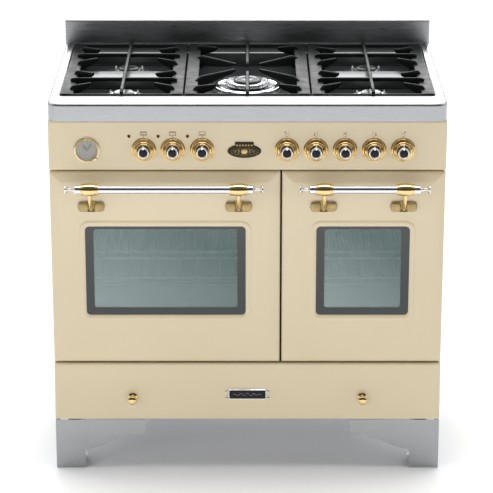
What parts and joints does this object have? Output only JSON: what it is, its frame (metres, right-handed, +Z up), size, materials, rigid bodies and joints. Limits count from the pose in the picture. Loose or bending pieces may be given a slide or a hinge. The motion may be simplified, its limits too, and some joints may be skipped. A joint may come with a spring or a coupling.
{
  "type": "freestanding gas range",
  "caption": "Freestanding dual-oven range with a gas hob under cast grates, drop-down glass doors with bar handles, a storage drawer and bracket feet.",
  "frame": {"origin": "on the floor, at the middle of the whole range in plan, handles included", "axes": "+X to the right seen from the front, +Y to the back, +Z up"},
  "size_m": [0.9, 0.6586, 0.952],
  "materials": {
    "stainless": "brushed",
    "enamel_cream": "gloss",
    "enamel_black": "gloss",
    "cast_iron": "matt",
    "brass": "polished",
    "chrome": "polished",
    "aluminium": "satin",
    "galvanised": "dull",
    "knob_brass": "polished",
    "door_glass": "clear",
    "clear_glass": "clear",
    "dial_cream": "satin",
    "hand_black": "satin",
    "lamp_red": "gloss",
    "electrode_white": "glazed",
    "switch_black": "matt"
  },
  "bodies": {
    "range_body": {"worktop": "stainless", "hob_tray": "enamel_black", "backsplash": "stainless", "control_panel": "enamel_cream", "side_panels": "enamel_cream", "back_panel": "galvanised", "base_frame": "galvanised", "front_frame": "enamel_black", "main_oven_cavity": "enamel_black", "side_oven_cavity": "enamel_black", "oven_racks": "chrome", "grill_elements": "galvanised", "bracket_feet": "stainless", "levelling_feet": "chrome", "burner_bodies": "aluminium", "burner_caps": "enamel_black", "burner_electrodes": "electrode_white", "gas_pipes": "galvanised", "tap_and_switch_bodies": "aluminium", "clock_case": "brass", "clock_dial": "dial_cream", "clock_glass": "clear_glass", "pilot_lights": "lamp_red", "panel_badge": "brass", "drawer_runners": "galvanised", "knob_bezels": "brass", "cable_gland": "switch_black"},
    "main_door": {"main_door_skin": "enamel_cream", "main_door_glasses": "door_glass", "main_door_liner": "enamel_black", "main_door_handle": "chrome", "main_door_handle_mounts": "brass"},
    "side_door": {"side_door_skin": "enamel_cream", "side_door_glasses": "door_glass", "side_door_liner": "enamel_black", "side_door_handle": "chrome", "side_door_handle_mounts": "brass"},
    "storage_drawer": {"drawer_front": "enamel_cream", "drawer_box": "galvanised", "drawer_knobs": "brass", "name_plate": "switch_black"},
    "left_grate": {"left_grate": "cast_iron"},
    "centre_grate": {"centre_grate": "cast_iron"},
    "right_grate": {"right_grate": "cast_iron"},
    "clock_knob": {"clock_knob": "brass"},
    "hour_hand": {"hour_hand": "hand_black"},
    "minute_hand": {"minute_hand": "hand_black"},
    "oven_selector_knob": {"oven_selector_knob": "knob_brass"},
    "main_thermostat_knob": {"main_thermostat_knob": "knob_brass"},
    "side_thermostat_knob": {"side_thermostat_knob": "knob_brass"},
    "tap_plug_1": {"tap_plug_1": "brass"},
    "burner_knob_1": {"burner_knob_1": "knob_brass"},
    "tap_plug_2": {"tap_plug_2": "brass"},
    "burner_knob_2": {"burner_knob_2": "knob_brass"},
    "tap_plug_3": {"tap_plug_3": "brass"},
    "burner_knob_3": {"burner_knob_3": "knob_brass"},
    "tap_plug_4": {"tap_plug_4": "brass"},
    "burner_knob_4": {"burner_knob_4": "knob_brass"},
    "tap_plug_5": {"tap_plug_5": "brass"},
    "burner_knob_5": {"burner_knob_5": "knob_brass"}
  },
  "joints": [
    {"name": "main_door_hinge", "type": "hinge", "parent": "range_body", "child": "main_door", "pos_m": [-0.1875, -0.25075, 0.283], "axis": [1, 0, 0], "range_deg": [0, 88]},
    {"name": "side_door_hinge", "type": "hinge", "parent": "range_body", "child": "side_door", "pos_m": [0.26425, -0.25075, 0.283], "axis": [1, 0, 0], "range_deg": [0, 88]},
    {"name": "drawer_slide", "type": "slide", "parent": "range_body", "child": "storage_drawer", "axis": [0, -1, 0], "range_m": [0, 0.29]},
    {"name": "left_grate_lift", "type": "slide", "parent": "range_body", "child": "left_grate", "axis": [0, 0, 1], "range_m": [0, 0.08]},
    {"name": "centre_grate_lift", "type": "slide", "parent": "range_body", "child": "centre_grate", "axis": [0, 0, 1], "range_m": [0, 0.08]},
    {"name": "right_grate_lift", "type": "slide", "parent": "range_body", "child": "right_grate", "axis": [0, 0, 1], "range_m": [0, 0.08]},
    {"name": "oven_selector_knob_turn", "type": "hinge", "parent": "range_body", "child": "oven_selector_knob", "pos_m": [-0.234, -0.26975, 0.7807], "axis": [0, 1, 0], "range_deg": [0, 330]},
    {"name": "main_thermostat_knob_turn", "type": "hinge", "parent": "range_body", "child": "main_thermostat_knob", "pos_m": [-0.1685, -0.26975, 0.7807], "axis": [0, 1, 0], "range_deg": [0, 300]},
    {"name": "side_thermostat_knob_turn", "type": "hinge", "parent": "range_body", "child": "side_thermostat_knob", "pos_m": [-0.102, -0.26975, 0.7807], "axis": [0, 1, 0], "range_deg": [0, 300]},
    {"name": "burner_knob_1_turn", "type": "hinge", "parent": "range_body", "child": "tap_plug_1", "pos_m": [0.089, -0.26975, 0.7807], "axis": [0, -1, 0], "range_deg": [0, 270]},
    {"name": "burner_knob_1_push", "type": "slide", "parent": "tap_plug_1", "child": "burner_knob_1", "axis": [0, 1, 0], "range_m": [0, 0.0035], "stiffness_N_per_m": 800},
    {"name": "burner_knob_2_turn", "type": "hinge", "parent": "range_body", "child": "tap_plug_2", "pos_m": [0.1545, -0.26975, 0.7807], "axis": [0, -1, 0], "range_deg": [0, 270]},
    {"name": "burner_knob_2_push", "type": "slide", "parent": "tap_plug_2", "child": "burner_knob_2", "axis": [0, 1, 0], "range_m": [0, 0.0035], "stiffness_N_per_m": 800},
    {"name": "burner_knob_3_turn", "type": "hinge", "parent": "range_body", "child": "tap_plug_3", "pos_m": [0.22, -0.26975, 0.7807], "axis": [0, -1, 0], "range_deg": [0, 270]},
    {"name": "burner_knob_3_push", "type": "slide", "parent": "tap_plug_3", "child": "burner_knob_3", "axis": [0, 1, 0], "range_m": [0, 0.0035], "stiffness_N_per_m": 800},
    {"name": "burner_knob_4_turn", "type": "hinge", "parent": "range_body", "child": "tap_plug_4", "pos_m": [0.2855, -0.26975, 0.7807], "axis": [0, -1, 0], "range_deg": [0, 270]},
    {"name": "burner_knob_4_push", "type": "slide", "parent": "tap_plug_4", "child": "burner_knob_4", "axis": [0, 1, 0], "range_m": [0, 0.0035], "stiffness_N_per_m": 800},
    {"name": "burner_knob_5_turn", "type": "hinge", "parent": "range_body", "child": "tap_plug_5", "pos_m": [0.351, -0.26975, 0.7807], "axis": [0, -1, 0], "range_deg": [0, 270]},
    {"name": "burner_knob_5_push", "type": "slide", "parent": "tap_plug_5", "child": "burner_knob_5", "axis": [0, 1, 0], "range_m": [0, 0.0035], "stiffness_N_per_m": 800},
    {"name": "clock_knob_turn", "type": "hinge", "parent": "range_body", "child": "clock_knob", "pos_m": [-0.343, -0.26475, 0.7617], "axis": [0, 1, 0], "continuous": true},
    {"name": "minute_hand_turn", "type": "hinge", "parent": "range_body", "child": "minute_hand", "pos_m": [-0.362, -0.26475, 0.7807], "axis": [0, 1, 0], "continuous": true},
    {"name": "hour_hand_turn", "type": "hinge", "parent": "range_body", "child": "hour_hand", "pos_m": [-0.362, -0.26475, 0.7807], "axis": [0, 1, 0], "continuous": true}
  ],
  "couplings": [
    {"joint": "minute_hand_turn", "follows": "clock_knob_turn", "ratio": 1},
    {"joint": "hour_hand_turn", "follows": "clock_knob_turn", "ratio": 0.083333}
  ]
}
